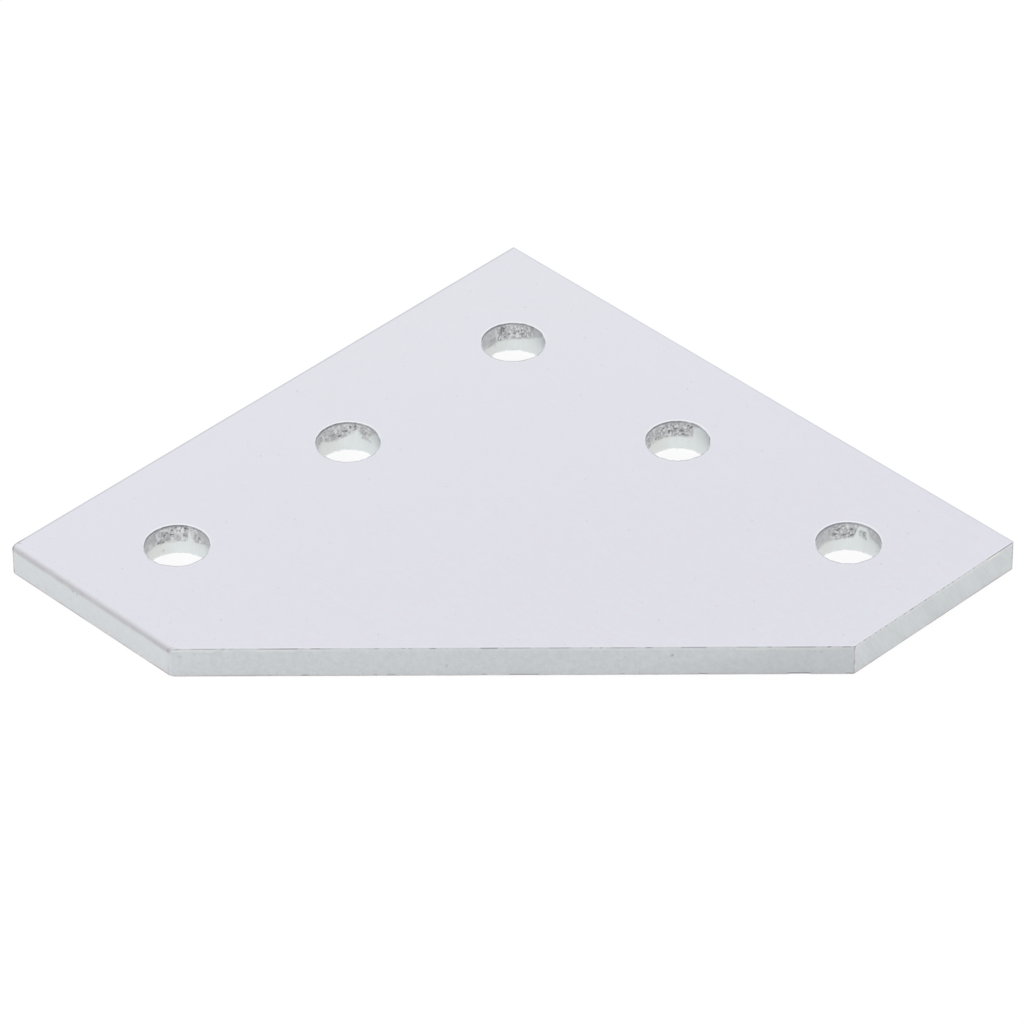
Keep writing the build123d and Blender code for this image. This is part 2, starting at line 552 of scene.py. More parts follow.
def roughen_cuts(grid):
    """Makes the faces of the cuts a little uneven."""
    dents = UNEVENNESS * grain(grid.points, (0.9, 0.9, 0.5), 1) - UNEVENNESS
    grid.push += grid.is_cut * grid.is_wall * dents * grid.calm


def paint_roll_shade(grid, here):
    """Painted shade: a dark band over the rolled edge, and on the face under it just short of the
    diagonal.
    """
    over = grid.below - 1.12 * (grid.inset - SKIN_DEPTH) - 0.03 * grid.wander
    roll_shade = smooth(-0.5, 0.3, over) * fall(0.38, 0.75, over)
    # Painted shade over the roll, warmed a little with cream.
    grid.add(here * roll_shade, dark=0.48 + 0.03 * grid.wander, cream=0.4)
    # Painted shade on the X end's last stretch before the diagonal.
    grid.add(here * grid.is_wall, dark=0.07 * fall(0.32, 0.4, lengths[X_END] - grid.along))


def scribed(grid):
    """The small dark nicks along the Y end's upper edge."""
    wave = np.sin(2 * np.pi * grid.along / SCRIBE_SPACING + 3 * grid.wander[0])
    ripple = wave + 0.5 * grain(grid.points[0], 0.5, 8)
    return smooth(0.1, 1.0, ripple) * (grid.along < SCRIBE_END)


def paint_sharp_edge(grid, here, dark, cream):
    """A sharp edge: a painted shadow line under it, a pale band below, and a painted highlight on its
    lip.
    """
    edge = SKIN_DEPTH + BURR_EDGE
    line = fall(*EDGE_LINE, grid.below + 0.02 * grid.wander) * smooth(-0.01, 0.02, grid.below)
    line = here * line * (grid.inset < edge)
    under = fall(*PALE_FOOT, grid.below) * smooth(*PALE_TOP, grid.below) * grid.is_wall
    lip = here * (grid.inset > edge) * fall(*LIP_REACH, grid.inset)
    # Painted shadow in the groove under the edge.
    grid.add(line, dark=dark * 0.75 - 0.05)
    # Pale band under it: bare metal, with a little painted highlight.
    grid.add(here * under, cream=cream * 0.6 + 0.12, bright=0.06)
    # Painted highlight on the lip.
    grid.add(lip, bright=0.1 + 0.25 * dark)
    grid.push -= line * dark * 0.02 * grid.calm
    grid.lift += lip * dark * 0.01


def paint_foot_shadow(grid, here, foot):
    """The lower edge is tinged with a warm line of painted shadow, darker and worn back in places."""
    line = here * fall(*FOOT_LINE, grid.up) * (grid.inset < SKIN_DEPTH + 0.12)
    # A warm line of painted shadow along the lower edge, darker in the foot's stretches.
    grid.add(line, warm=np.clip(0.36 + 0.5 * foot + 0.3 * grid.wander, 0, 1), dark=0.6 * foot)
    grid.push -= line * foot * 0.03 * grid.calm


def dent_pits(grid, here, pits):
    """The small dents, darker the wider they are."""
    along = np.broadcast_to(grid.along, grid.up.shape)
    for distance, height, radius in pits:
        place = (distance, height)
        pit = here * stroke(along, grid.up, place, place, radius)
        grid.add(pit, dark=min(0.8, 9 * radius))
        grid.push -= pit * 0.05 * grid.calm


def wear_side(grid, side, detail):
    """All that one cut side shows."""
    here = grid.sides == side
    grid.add(here, even=detail.even, combed=detail.combed)
    if side == X_END:
        paint_roll_shade(grid, here)
    else:
        nicks = scribed(grid) if side == Y_END else 0
        dark = np.maximum(stretches(grid.along, detail.dark), nicks)
        paint_sharp_edge(grid, here, dark, stretches(grid.along, detail.cream, 0.3))
    paint_foot_shadow(grid, here, stretches(grid.along, detail.foot, 0.05))
    dent_pits(grid, here, detail.pits)


def paint_shade_on_cuts(grid):
    """Painted shade on the cut faces: a little on both ends, and on the diagonal more towards its far
    end, most low down.
    """
    upper = smooth(1, 2.2, grid.up)
    far = (0.16 - 0.04 * upper) * smooth(36 + 9 * upper, 53, grid.along)
    shade_by_side = {DIAGONAL: far + 0.035 * smooth(0, 8, grid.along), X_END: 0.045, Y_END: 0.065}
    sheared = grid.is_wall & ((grid.sides != X_END) | (grid.up < thickness - END_ROLL))
    for side, dark in shade_by_side.items():
        cream = 0.5 if side == DIAGONAL else 1.3
        # Painted shade, warmed with cream.
        grid.add(sheared * (grid.sides == side), dark=dark, cream=cream * dark)


def shade_outer_lips(grid):
    """The lips over the two outer sides are dark, most by the far end of the first."""
    lip = ~grid.is_cut & (grid.below < FACE_SLACK) & (grid.inset < SKIN_DEPTH + 0.35)
    by_far_end = fall(0.3, 1.2, grid.from_end) * (grid.along > 1.2)
    tint = np.where(grid.sides == X_OUTER, 0.34 + 0.35 * by_far_end, 0.16)
    grid.add(lip * fall(0.07, 0.2, grid.inset), dark=tint + 0.05 * grid.wander)


def streak_uprights(grid):
    """Dark, dotted streaks down the upright edges, with painted highlights beside them."""
    dotted = 0.4 + 1.3 * grain(grid.points, (9, 9, 0.2), 4)
    for corner, aside, strength, painted_glints in UPRIGHTS:
        after = grid.sides == corner
        before = grid.sides == (corner - 1) % len(outline)
        gap = np.select([before, after], [lengths[corner - 1] - grid.along, -grid.along], FAR_OFF)
        over_roll = (corner == X_END) & after & (grid.inset < 0.8)   # this one runs on over the roll
        streak = fall(0.04, 0.1, np.abs(gap - aside)) * (grid.is_wall | over_roll)
        grid.add(streak, dark=np.clip(strength * dotted, 0, 1), warm=strength)
        for height in painted_glints:
            aim = np.hypot(gap - aside + 0.12, 0.8 * (grid.up - height))
            # Painted highlights beside the streak.
            grid.add(fall(0.06, 0.17, aim) * grid.is_wall, bright=0.4)


def cut_notch(grid):
    """The notch in the lower edge of the diagonal, with painted shade inside it."""
    start, end, height = NOTCH
    notch = (grid.sides == DIAGONAL) * stretches(grid.along, [(start, end, 1)]) * (grid.inset < 0.3)
    notch = notch * fall(height - 0.04, height + 0.04, grid.up + 0.03 * grid.wander)
    grid.push -= notch * NOTCH_DEPTH
    # Painted shade inside the notch.
    grid.spread(notch, dark=1)
    grid.paint["dark"] = np.clip(grid.paint["dark"], 0, 1)


def outline_strip(skin):
    """The sides and the faces' borders. Returns their loops (upper, lower)."""
    grid = SideGrid()
    roughen_cuts(grid)
    for side, detail in CUTS.items():
        wear_side(grid, side, detail)
    paint_shade_on_cuts(grid)
    shade_outer_lips(grid)
    streak_uprights(grid)
    cut_notch(grid)
    index = skin.add_points(grid.worn_points(), grid.paint, grid.lay())
    level = np.diff(grid.heights) == 0
    rolled = (grid.sides == X_END) & (grid.heights[:-1] >= thickness - END_ROLL)[:, None]
    skin.add_strip(index, np.where(level[:, None] | rolled, FACE, CUT))
    return index[-1], index[0]


# ---- the shape of the holes
UPWARD = np.array([0, 0, 1])
UPRIGHT_GRAIN = 9   # millimetres: far taller than the wall
BORE_LAY_START, BORE_LAY_SPREAD = 300, 20   # keep each hole's marks apart from all others


def bore_rows(radius):
    """(radii, heights) of a hole's rows, from underside to upper face."""
    rim_height, rim_inset = quarter_round(RIM_ROLL, RIM_ROWS)
    smooth_height = np.linspace(RIM_ROLL, TORN_FROM, SMOOTH_ROWS)[1:]
    torn_height = np.linspace(TORN_FROM, thickness - RIM_BREAK, TORN_ROWS)[1:]
    wall_height = np.concatenate([smooth_height, torn_height])
    upper = TEAR_FLARE + RIM_BREAK + UPPER_RIM_ROWS
    radii = radius + np.concatenate([[LOWER_RIM_ROW], rim_inset, 0 * wall_height, upper])
    return radii, np.concatenate([[0], rim_height, wall_height, thickness + 0 * upper])


def bore_angles():
    """The angles of a hole's columns, in degrees."""
    start, end = FINE_WALL
    fine = np.linspace(start, end, FINE_COLUMNS, endpoint=False)
    return np.concatenate([fine, np.linspace(end, start + 360, COARSE_COLUMNS, endpoint=False)])


class BoreGrid(Grid):
    """The vertices of one punched hole, where out is away from the axis."""

    def __init__(self, mount, seed):
        self.seed = seed
        self.tear = TEARS[mount["name"]]
        self.centre = np.array(mount["pos_m"]) / MM
        self.radius = mount["dims"]["r_mm"]
        self.radii, self.heights = bore_rows(self.radius)
        unwound = bore_angles()
        turn, self.angle = np.radians(unwound), unwound % 360
        super().__init__(np.repeat(self.heights[:, None], len(turn), axis=1))
        self.direction = np.stack([np.cos(turn), np.sin(turn), 0 * turn], axis=-1)
        self.across = np.broadcast_to(turn * self.radius, self.up.shape)
        self.wall = self.radius * self.direction + UPWARD * self.up[..., None]
        self.past_rim = self.radii[:, None] - self.radius - TEAR_FLARE - RIM_BREAK
        self.is_wall = (self.past_rim < -RIM_BREAK) & (self.up > RIM_ROLL) & (self.up < thickness)

    def grain(self, size, turn):
        """Noise over the wall, different for each turn."""
        return grain(self.wall, size, self.seed + turn)

    def ragged(self, size, turn):
        """Noise that hardly varies up the wall."""
        return self.grain((size, size, UPRIGHT_GRAIN), turn)

    def worn_points(self):
        """The points, pushed and lifted."""
        distance = self.radii[:, None] + self.push
        height = self.worn_height()
        return self.centre + distance[..., None] * self.direction + height[..., None] * UPWARD

    def lay(self):
        """Distances round and up the wall."""
        apart = BORE_LAY_START + BORE_LAY_SPREAD * self.seed
        return np.stack([self.across, self.up, 0 * self.up + apart], axis=-1)


# ---- the wear of the holes, and the light and shade painted on them
PATCH_LEAN = 4   # degrees that a torn patch leans by for each millimetre of height
PATCH_EDGE = 0.06   # over which a patch's top and bottom fade
TEAR_STEP = 0.02   # outward from the smooth wall to the torn metal
RELIEF = 0.05   # of the folds, of the chips on them and of the creases
WARP = 0.13   # how far the folds and chips are bent out of line
FOLD_SIZE, CHIP_SIZE = np.array([0.3, 0.3, 0.26]), np.array([0.15, 0.15, 0.2])


def find_tear(grid):
    """(torn, strength, line): where the wall is torn, how rough, and the tear's start."""
    tear = grid.tear
    jagged = 0.07 * grid.ragged(0.16, 0) + 0.05 * grid.ragged(0.5, 1)
    line = around(grid.angle, tear.line | BACK_LINE) + jagged
    strength = around(grid.angle, tear.strength | BACK_STRENGTH) + 0 * line
    torn = smooth(-0.02, 0.05, grid.up - line)
    level = grid.up + jagged
    for start, end, bottom, top, rough in tear.patches:
        lean = PATCH_LEAN * (grid.up - (bottom + top) / 2)
        inside = stretches(grid.angle - lean + 6 * grid.grain(0.3, 2), [(start, end, 1)], 2)
        inside = inside * smooth(bottom - PATCH_EDGE, bottom + PATCH_EDGE, level)
        inside = inside * fall(top - PATCH_EDGE, top + PATCH_EDGE, level)
        torn = np.maximum(torn, inside)
        strength = np.where(inside > 0.5, rough, strength)
    return torn * grid.is_wall, strength, line


def torn_surface(grid):
    """The inward relief of torn metal, painted shade in its creases and painted highlights on its
    facets.
    """
    coarse, seed = grid.tear.coarse, grid.seed
    warp = np.stack([grid.grain(0.45, turn) for turn in (20, 21, 22)], axis=-1)
    place = grid.wall + WARP * warp
    fold = grain(place, FOLD_SIZE * coarse ** 0.5, seed + 3)
    chip = grain(place, CHIP_SIZE * coarse, seed + 4)
    deep = smooth(-0.3, 0.35, grid.grain(0.7, 5))
    crease = fall(0.04, 0.25, np.abs(fold + 0.45 * chip)) * (0.2 + 0.52 * deep)
    scribble = fall(0.03, 0.2, np.abs(grain(place, (0.2, 0.2, 0.16), seed + 10)))
    crease = np.maximum(crease, 0.36 * scribble)
    facet_highlight = smooth(0.1, 0.4, chip) * (1 - crease)
    return RELIEF * (fold + chip - crease), crease, facet_highlight


def tear_wall(grid):
    """Tears the upper part of the wall. Returns (torn, line)."""
    torn, strength, line = find_tear(grid)
    relief, crease, facet_highlight = torn_surface(grid)
    rough = torn * strength
    share = np.clip((grid.up - line) / (thickness - line + 0.3), 0, 1)
    grid.push += torn * (TEAR_FLARE * share + TEAR_STEP) - rough * relief
    grid.add(torn, tear=1)
    # Painted shade in the creases, painted highlights on the facets.
    grid.add(rough, grit=1, cleft=crease, bright=0.85 * facet_highlight, cream=0.6 * facet_highlight)
    return torn, line


def mark_wall(grid):
    """The tear's crevices with painted shade, flecks with painted highlights, and pits."""
    def spot(angle, height, end_angle, end_height, width):
        start = (math.radians(angle) * grid.radius, height)
        end = (math.radians(end_angle) * grid.radius, end_height)
        return stroke(grid.across, grid.up, start, end, width) * grid.is_wall

    for crevice in grid.tear.crevices:
        mark = spot(*crevice, 0.055)
        grid.push += mark * 0.06
        # Painted shade in the crevice.
        grid.spread(mark, cleft=0.8)
    for angle, height in grid.tear.flecks:
        mark = spot(angle, height - 0.04, angle, height + 0.04, 0.07)
        grid.push -= mark * 0.03
        # Painted highlight on the fleck.
        grid.spread(mark, bright=0.9)
        grid.paint["cleft"] *= 1 - mark
    for angle, height in grid.tear.pits:
        mark = spot(angle, height, angle, height, 0.06)
        grid.push += mark * 0.03
        grid.spread(mark, dark=0.5)


def shade_wall(grid, torn, line):
    """A clean ledge under the tear, painted light and shade on the wall, and painted shade inside the
    rim.
    """
    under = line - grid.up
    ledge = fall(0.04, 0.1, under) * smooth(-0.02, 0.02, under)
    # Painted light on the same side of every hole's smooth wall.
    painted_light = around(grid.angle, WALL_PAINTED_LIGHT) * (1 - torn)
    grid.add(grid.is_wall, cream=np.maximum(0.7 * ledge, painted_light))
    # Painted shade on the wall, strongest towards the flanks, and inside the upper rim.
    shade = around(grid.angle, WALL_SHADE) * (1 - 0.35 * torn)
    shade = shade * (0.45 + 0.55 * smooth(0.6, 2.7, grid.up))
    rim_line = fall(0.12, 0.26, grid.below) * around(grid.angle, RIM_SHADE)
    grid.spread(grid.is_wall, dark=np.maximum(shade, rim_line))


def raise_burr(grid):
    """The burr round the upper rim: painted highlight on one side, painted shade on the other and at its
    edge.
    """
    on_top = (grid.below <= 0) & (grid.past_rim > -TINY)
    shine = around(grid.angle, BURR_SHINE)
    lip = on_top * fall(-0.03, 0.03, grid.past_rim - 0.06 - 0.07 * shine)
    lip = lip * smooth(-0.01, 0.03, grid.past_rim)
    ticks = smooth(-0.3, 0.6, grid.ragged(0.13, 8))
    # Painted highlight on one side of the burr and painted shade on the other.
    grid.spread(lip, bright=0.9 * shine, dark=(1 - shine) ** 2 * (0.42 + 0.45 * ticks))
    edge = on_top * fall(0, 0.03, grid.past_rim)
    # A painted dark line at the rim's edge.
    grid.spread(edge, dark=0.2 + 0.3 * around(grid.angle, RIM_SHADE))
    grid.lift += lip * (0.008 + 0.004 * grid.ragged(0.5, 7))


def widen_rims(grid, torn):
    """The upper rim follows the torn wall, and the lower one isn't quite round."""
    shine = around(grid.angle, BURR_SHINE)
    untorn = 1 - torn[grid.is_wall[:, 0]][-1]   # where the wall isn't torn, it doesn't widen
    untorn = np.mean([np.roll(untorn, shift) for shift in range(-5, 6)], axis=0)
    wavy = (0.02 + 0.06 * (1 - shine)) * grid.ragged(0.3, 6)
    near = fall(0, 0.3, grid.past_rim) * (grid.below <= 0) * (grid.past_rim > -TINY)
    grid.push += near * (wavy - TEAR_FLARE * untorn)
    foot = fall(0.05, 0.35, grid.up) * (grid.radii[:, None] < grid.radius + 0.2)
    grid.push += 0.08 * grid.ragged(0.2, 9) * foot


def bore_strip(skin, mount, seed):
    """One punched hole. Returns its outermost loops (upper, lower)."""
    grid = BoreGrid(mount, seed)
    torn, line = tear_wall(grid)
    mark_wall(grid)
    shade_wall(grid, torn, line)
    raise_burr(grid)
    widen_rims(grid, torn)
    index = skin.add_points(grid.worn_points(), grid.paint, grid.lay())
    level = np.diff(grid.heights) == 0
    skin.add_strip(index, np.where(level, FACE, BORE)[:, None], inward=True)
    return index[-1], index[0]


# ---- the whole plate
def field_spots(skin, height, reach):
    """Points spread over a face, clear of its border and of the holes."""
    centres = np.array([mount["pos_m"][:2] for mount in bores]) / MM
    columns, rows = (np.arange(low[axis], high[axis], FACE_SPACING) for axis in (0, 1))
    spots = np.array([(x, y) for x in columns for y in rows])
    spots += np.random.default_rng(5).uniform(-0.25, 0.25, spots.shape) * FACE_SPACING
    depth = np.min(np.einsum("nkd,kd->nk", spots[:, None] - outline, inward), axis=1)
    gap = np.min(np.linalg.norm(spots[:, None] - centres, axis=2), axis=1)
    clear = (depth > FACE_BORDER + 0.8 * FACE_SPACING) & (gap > reach + 0.5 * FACE_SPACING)
    return skin.add_points(np.column_stack([spots[clear], np.full(clear.sum(), height)]))


def build_plate(materials):
    """The whole plate as one closed skin."""
    skin = Skin()
    upper_loops, lower_loops = zip(outline_strip(skin), *(
        bore_strip(skin, mount, 10 * number) for number, mount in enumerate(bores)
    ))
    radii, _ = bore_rows(bores[0]["dims"]["r_mm"])
    upper_spots = field_spots(skin, thickness - SKIN_DEPTH, radii[-1])
    lower_spots = field_spots(skin, 0, radii[0])
    skin.add_face(upper_loops, upper_spots, upward=True)
    skin.add_face(lower_loops, lower_spots, upward=False)
    return skin.mesh("plate_body", materials)


# ---- material nodes
def add(tree, kind, inputs=None, **settings):
    """A shader node, with its inputs linked to sockets or set to values."""
    made = tree.nodes.new("ShaderNode" + kind)
    for key, value in settings.items():
        setattr(made, key, value)
    for key, value in (inputs or {}).items():
        if isinstance(value, bpy.types.NodeSocket):
            tree.links.new(value, made.inputs[key])
        else:
            made.inputs[key].default_value = value
    return made


def painted(tree, name):
    """The factor of one of the skin's paints."""
    return add(tree, "Attribute", attribute_name=name).outputs["Fac"]


def calc(tree, first, second, operation="MULTIPLY"):
    """A Math node's result."""
    return add(tree, "Math", {0: first, 1: second}, operation=operation).outputs[0]


def mix(tree, factor, first, second):
    """Mixes two numbers."""
    return add(tree, "Mix", {0: factor, 2: first, 3: second}, data_type="FLOAT").outputs[0]


def blend(tree, factor, first, second, mode="MIX"):
    """Mixes two colours, which may be tuples of red, green and blue."""
    first, second = ((*c, 1) if isinstance(c, tuple) else c for c in (first, second))
    colours = {0: factor, 6: first, 7: second}
    return add(tree, "Mix", colours, data_type="RGBA", blend_type=mode).outputs[2]


def ramp(tree, value, start, end, to_start=0.0, to_end=1.0):
    """Maps start..end to to_start..to_end, smoothly and clamped."""
    node = add(tree, "MapRange", {
        "Value": value, "From Min": start, "From Max": end, "To Min": to_start, "To Max": to_end,
    }, interpolation_type="SMOOTHSTEP")
    return node.outputs["Result"]


def millimetres(tree, scale=(1, 1, 1)):
    """Object coordinates in millimetres, times scale."""
    place = add(tree, "TexCoord").outputs["Object"]
    scale = [factor / MM for factor in scale]
    return add(tree, "Mapping", {"Vector": place, "Scale": scale}).outputs["Vector"]


def lay_vector(tree, scale):
    """Distances along and across the tool marks, times scale."""
    place = add(tree, "Attribute", attribute_name="lay").outputs["Vector"]
    return add(tree, "Mapping", {"Vector": place, "Scale": scale}).outputs["Vector"]


def noise(tree, vector, size, detail=2, rough=0.6, twist=0.0):
    """Noise between 0 and 1 with features about size across."""
    return add(tree, "TexNoise", {
        "Vector": vector, "Scale": 1 / size, "Detail": detail, "Roughness": rough, "Distortion": twist,
    }).outputs["Fac"]


def dots(tree, vector, spacing, radius, share, dimensions="3D"):
    """1 on small round dots, in that share of the cells, which are spacing across. A surface cuts few
    of them in 3D, and a level face shows all in 2D."""
    cells = add(tree, "TexVoronoi", {
        "Vector": vector, "Scale": 1 / spacing,
    }, voronoi_dimensions=dimensions)
    size = radius / spacing
    dot = ramp(tree, cells.outputs["Distance"], size, 0.4 * size)
    pick = add(tree, "SeparateColor", {0: cells.outputs["Color"]}).outputs[0]
    return calc(tree, dot, ramp(tree, pick, share + 0.01, share - 0.01))


def metal(name, colour, metallic):
    """A material with a Principled shader. Returns (material, tree, shader)."""
    material = bpy.data.materials.new(name)
    material.use_nodes = True
    tree = material.node_tree
    shader = tree.nodes["Principled BSDF"]
    shader.inputs["Base Color"].default_value = (*colour, 1)
    shader.inputs["Metallic"].default_value = metallic
    return material, tree, shader


def finish_metal(tree, shader, colour, roughness, bump_height, bump_distance):
    """Lays the shared paints over colour, and wires the shader."""
    # The shared paints carry painted highlights and painted shade as well as the metal's own tints.
    colour = blend(tree, calc(tree, painted(tree, "cream"), 0.85), colour, CREAM)
    for paint, tint in (("bright", PAINTED_HIGHLIGHT), ("warm", EDGE_WARM), ("dark", EDGE_DARK)):
        colour = blend(tree, painted(tree, paint), colour, tint)
    tree.links.new(colour, shader.inputs["Base Color"])
    tree.links.new(roughness, shader.inputs["Roughness"])
    bump = add(tree, "Bump", {"Height": bump_height, "Distance": bump_distance, "Strength": 1.0})
    tree.links.new(bump.outputs["Normal"], shader.inputs["Normal"])


# ---- materials
LAVENDER = (0.715, 0.7, 0.776)
NEUTRAL = (0.719, 0.712, 0.77)
FROST = (0.712, 0.722, 0.777)
# Painted light, palest by the square corner.
FACE_PAINTED_LIGHT = (0.745, 0.745, 0.8)
SPECK = (0.45, 0.44, 0.5)
# Pale warm paint: bare metal, and the warm part of painted highlights and painted light.
CREAM = (0.8, 0.78, 0.7)
# The colour of the painted highlights.
PAINTED_HIGHLIGHT = (0.93, 0.94, 0.98)
# The colour of the dark paint: mostly painted shade, also dark lines and pits.
EDGE_DARK = (0.2, 0.193, 0.235)
EDGE_WARM = (0.5, 0.41, 0.4)
SHEARED = (0.592, 0.617, 0.635)
SHEARED_DARK = (0.533, 0.56, 0.578)
LAND = (0.895, 0.935, 0.935)
LAND_DULL = (0.86, 0.9, 0.9)
TORN = (0.61, 0.615, 0.625)
TORN_PALE = (0.79, 0.8, 0.805)
TORN_CALM = (0.69, 0.7, 0.715)
# The painted shade in the torn metal's creases and crevices.
CLEFT_SHADE = (0.1, 0.1, 0.11)

DRAWN = (1, 0.12, 1)   # stretches a noise along Y, the way the sheet was drawn
PAINTED_LIGHT_REACH = 0.62   # of the plate's width: how far the painted light by the square corner reaches
ROLL_SPECKS_FROM, ROLL_SPECKS_TO = 1.5, 0.8   # short of the X end, where its roll's specks come in


def face_colour(tree, place, clouds, fine):
    """(colour, X): faint clouds and drawing lines, with painted light that is palest by the square
    corner.
    """
    colour = blend(tree, ramp(tree, clouds, 0.35, 0.65), LAVENDER, NEUTRAL)
    drawn = noise(tree, millimetres(tree, DRAWN), size=0.4, detail=3)
    tinge = mix(tree, 0.5, noise(tree, place, size=0.8), drawn)
    colour = blend(tree, ramp(tree, tinge, 0.38, 0.62), colour, FROST)
    spot = add(tree, "SeparateXYZ", {0: place})
    away = mix(tree, 0.65, spot.outputs["X"], spot.outputs["Y"])
    # Painted light, palest by the square corner.
    colour = blend(tree, ramp(tree, away, PAINTED_LIGHT_REACH * high[0], low[0]), colour, FACE_PAINTED_LIGHT)
    grey = add(tree, "CombineColor", {0: fine, 1: fine, 2: fine}).outputs[0]
    return blend(tree, 0.12, colour, grey, "SOFT_LIGHT"), spot.outputs["X"]


def anodised_face():
    """Satin anodised sheet with specks, most of them on the rolled edge."""
    material, tree, shader = metal("anodised_face", LAVENDER, metallic=0.7)
    place = millimetres(tree)
    clouds = noise(tree, place, size=2.6, detail=3, twist=0.4)
    fine = noise(tree, place, size=0.16)
    colour, along_x = face_colour(tree, place, clouds, fine)
    small = dots(tree, place, spacing=4.2, radius=0.1, share=0.4, dimensions="2D")
    large = dots(tree, place, spacing=8.3, radius=0.13, share=0.5, dimensions="2D")
    specks = calc(tree, small, large, "MAXIMUM")
    colour = blend(tree, calc(tree, specks, 0.35), colour, SPECK)
    near_roll = ramp(tree, along_x, high[0] - ROLL_SPECKS_FROM, high[0] - ROLL_SPECKS_TO)
    roll_dots = dots(tree, place, spacing=0.9, radius=0.09, share=0.4, dimensions="2D")
    roll_specks = calc(tree, roll_dots, near_roll)
    colour = blend(tree, calc(tree, roll_specks, 0.4), colour, SPECK)
    roughness = ramp(tree, clouds, 0.2, 0.8, to_start=0.42, to_end=0.5)
    finish_metal(tree, shader, colour, roughness, bump_height=fine, bump_distance=0.004 * MM)
    return material


def sheared_edge():
    """Sheared metal: granular, pitted, with the blade's faint marks and small painted highlights."""
    material, tree, shader = metal("sheared_edge", SHEARED, metallic=0.35)
    place = millimetres(tree)
    grainy = noise(tree, place, size=0.2, detail=3)
    blotchy = noise(tree, place, size=0.6, rough=0.5, twist=0.5)
    mottled = mix(tree, 0.42, grainy, blotchy)
    mottled = mix(tree, painted(tree, "even"), mottled, 0.5)
    bands = noise(tree, lay_vector(tree, (0.12, 0.5, 1)), size=1.0, detail=1, rough=0.5)
    lines = noise(tree, lay_vector(tree, (0.45, 3.6, 1)), size=1.0)
    shade = mix(tree, painted(tree, "combed"), mottled, mix(tree, 0.5, bands, lines))
    colour = blend(tree, ramp(tree, shade, 0.38, 0.62), SHEARED_DARK, SHEARED)
    pits = dots(tree, place, spacing=0.65, radius=0.065, share=0.65)
    painted_glints = dots(tree, millimetres(tree, (1.1, 0.93, 1.07)), spacing=1.0, radius=0.07, share=0.6)
    colour = blend(tree, calc(tree, pits, 0.4), colour, EDGE_DARK)
    # Small painted highlights on the sheared face.
    colour = blend(tree, calc(tree, painted_glints, 0.5), colour, PAINTED_HIGHLIGHT)
    height = calc(tree, shade, calc(tree, pits, 0.8), "SUBTRACT")
    roughness = ramp(tree, grainy, 0.3, 0.7, to_start=0.48, to_end=0.6)
    finish_metal(tree, shader, colour, roughness, bump_height=height, bump_distance=0.02 * MM)
    return material


def bore_wall():
    """The punched wall: a smooth land with fine streaks, and torn metal above it."""
    material, tree, shader = metal("bore_wall", LAND, metallic=0.7)
    place = millimetres(tree)
    streaks = noise(tree, lay_vector(tree, (5.0, 0.35, 1)), size=1.0, detail=3)
    grit = noise(tree, place, size=0.13, detail=3, rough=0.7)
    land = blend(tree, ramp(tree, streaks, 0.35, 0.7), LAND_DULL, LAND)
    gritty = blend(tree, ramp(tree, grit, 0.35, 0.65), TORN, TORN_PALE)
    torn = blend(tree, painted(tree, "grit"), TORN_CALM, gritty)
    colour = blend(tree, painted(tree, "tear"), land, torn)
    colour = blend(tree, painted(tree, "cleft"), colour, CLEFT_SHADE)
    roughness = ramp(tree, painted(tree, "tear"), 0.0, 1.0, to_start=0.42, to_end=0.55)
    rough_height = calc(tree, grit, painted(tree, "grit"))
    height = calc(tree, calc(tree, streaks, 0.15), rough_height, "ADD")
    finish_metal(tree, shader, colour, roughness, bump_height=height, bump_distance=0.03 * MM)
    return material


# ---- floor, light and camera
FLOOR_GLOW = 0.9   # the part of the floor's white that shadows don't touch
FLOOR_LIT = 0.85   # how pale the floor is to the light that it throws back
FLOOR_SIZE = 12.0   # metres
FLOOR_GAP = 0.01   # millimetres: the plate stands on its burrs
WORLD_LEVEL = 0.8


def is_seen_directly(tree):
    """1 for rays from the camera, also by way of metal or glass."""
    path = add(tree, "LightPath")
    seen = calc(tree, path.outputs["Is Camera Ray"], path.outputs["Is Glossy Ray"], "MAXIMUM")
    return calc(tree, seen, path.outputs["Is Transmission Ray"], "MAXIMUM")


def white_floor_material():
    """White but for the soft shadow to the camera, and pale to the light it throws back."""
    material = bpy.data.materials.new("pale_floor")
    material.use_nodes = True
    tree = material.node_tree
    tree.nodes.clear()
    shadow = add(tree, "BsdfDiffuse", {"Color": (1 - FLOOR_GLOW,) * 3 + (1,)})
    glow = add(tree, "Emission", {"Color": (1, 1, 1, 1), "Strength": FLOOR_GLOW})
    seen = add(tree, "AddShader", {0: shadow.outputs[0], 1: glow.outputs[0]})
    lit = add(tree, "BsdfDiffuse", {"Color": (FLOOR_LIT,) * 3 + (1,)})
    parts = {0: is_seen_directly(tree), 1: lit.outputs[0], 2: seen.outputs[0]}
    mixed = add(tree, "MixShader", parts)
    add(tree, "OutputMaterial", {"Surface": mixed.outputs[0]})
    return material


def pale_floor():
    """A plain white floor that keeps the plate's soft shadow."""
    data = bpy.data.meshes.new("floor")
    half = FLOOR_SIZE / 2
    level = (low[2] - FLOOR_GAP) * MM
    corners = [(-half, -half, level), (half, -half, level), (half, half, level), (-half, half, level)]
    data.from_pydata(corners, [], [(0, 1, 2, 3)])
    data.materials.append(white_floor_material())
    add_object("floor", data)


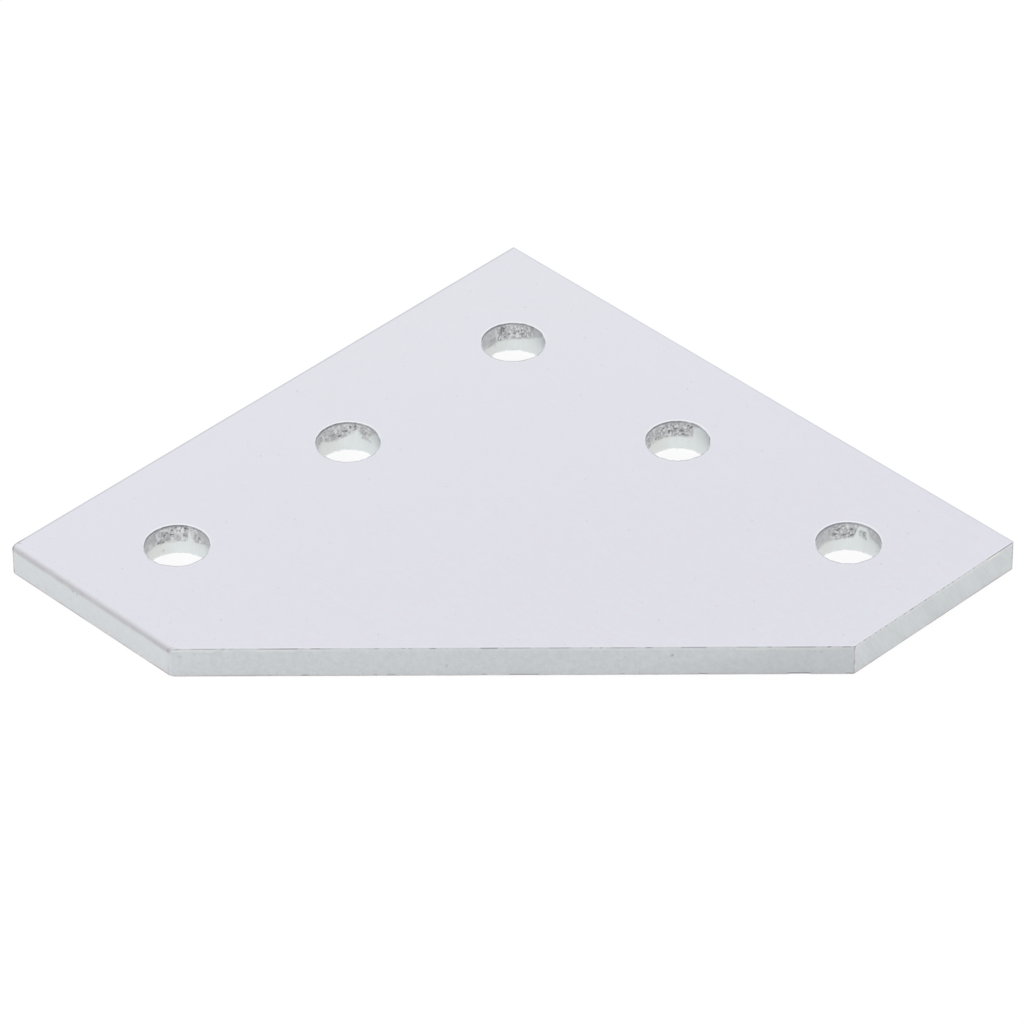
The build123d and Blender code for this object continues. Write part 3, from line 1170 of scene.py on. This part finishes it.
def pale_world():
    """An even white surround, seen as white."""
    world = bpy.data.worlds.new("studio")
    world.use_nodes = True
    tree = world.node_tree
    tree.nodes.clear()
    level = ramp(tree, is_seen_directly(tree), 0, 1, to_start=WORLD_LEVEL, to_end=1.0)
    glow = add(tree, "Background", {"Color": (1, 1, 1, 1), "Strength": level})
    add(tree, "OutputWorld", {"Surface": glow.outputs[0]})
    bpy.context.scene.world = world


def soft_lamp(name, place, size, power, target):
    """A square lamp, in metres and watts, that the metal doesn't mirror, so that no view burns out."""
    data = bpy.data.lights.new(name, "AREA")
    data.size = size
    data.energy = power
    made = add_object(name, data)
    made.location = place
    made.visible_glossy = False
    made.rotation_euler = (Vector(target) - Vector(place)).to_track_quat("-Z", "Y").to_euler()


# Angles are in degrees, with the azimuth from +X towards +Y, the distance is in metres and the lens
# in millimetres. The point looked at is at AIM_SHARE of the plate's box, on the upper face.
VIEW_AZIMUTH, VIEW_ELEVATION, VIEW_ROLL = 45.4389, 38.2785, 0.5047
VIEW_DISTANCE = 0.639418
VIEW_LENS, VIEW_SENSOR = 265.426, 36
AIM_SHARE = np.array([0.450149, 0.448723])


def make_camera():
    """The camera, looking down at the diagonal from a long way off."""
    azimuth, elevation = math.radians(VIEW_AZIMUTH), math.radians(VIEW_ELEVATION)
    back = Vector((
        math.cos(azimuth) * math.cos(elevation),
        math.sin(azimuth) * math.cos(elevation),
        math.sin(elevation),
    ))
    aim = Vector((*(low[:2] + AIM_SHARE * (high[:2] - low[:2])), high[2])) * MM
    data = bpy.data.cameras.new("camera")
    data.lens = VIEW_LENS
    data.sensor_width = VIEW_SENSOR
    data.clip_start, data.clip_end = 0.01, 30
    camera = add_object("camera", data)
    turn = (-back).to_track_quat("-Z", "Y").to_matrix()
    roll = Matrix.Rotation(math.radians(-VIEW_ROLL), 3, "Z")
    camera.matrix_world = Matrix.Translation(aim + back * VIEW_DISTANCE) @ (turn @ roll).to_4x4()
    bpy.context.scene.camera = camera


plate = build_plate([anodised_face(), sheared_edge(), bore_wall()])
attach(plate, "root")
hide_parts(NODE)

pale_floor()
pale_world()
middle = tuple((low + high) / 2 * MM)
soft_lamp("key", place=(0.2, -0.04, 0.11), size=0.2, power=0.23, target=middle)
soft_lamp("fill", place=(-0.14, 0.17, 0.12), size=0.2, power=0.262, target=middle)
make_camera()
bpy.context.scene.view_settings.view_transform = "Standard"
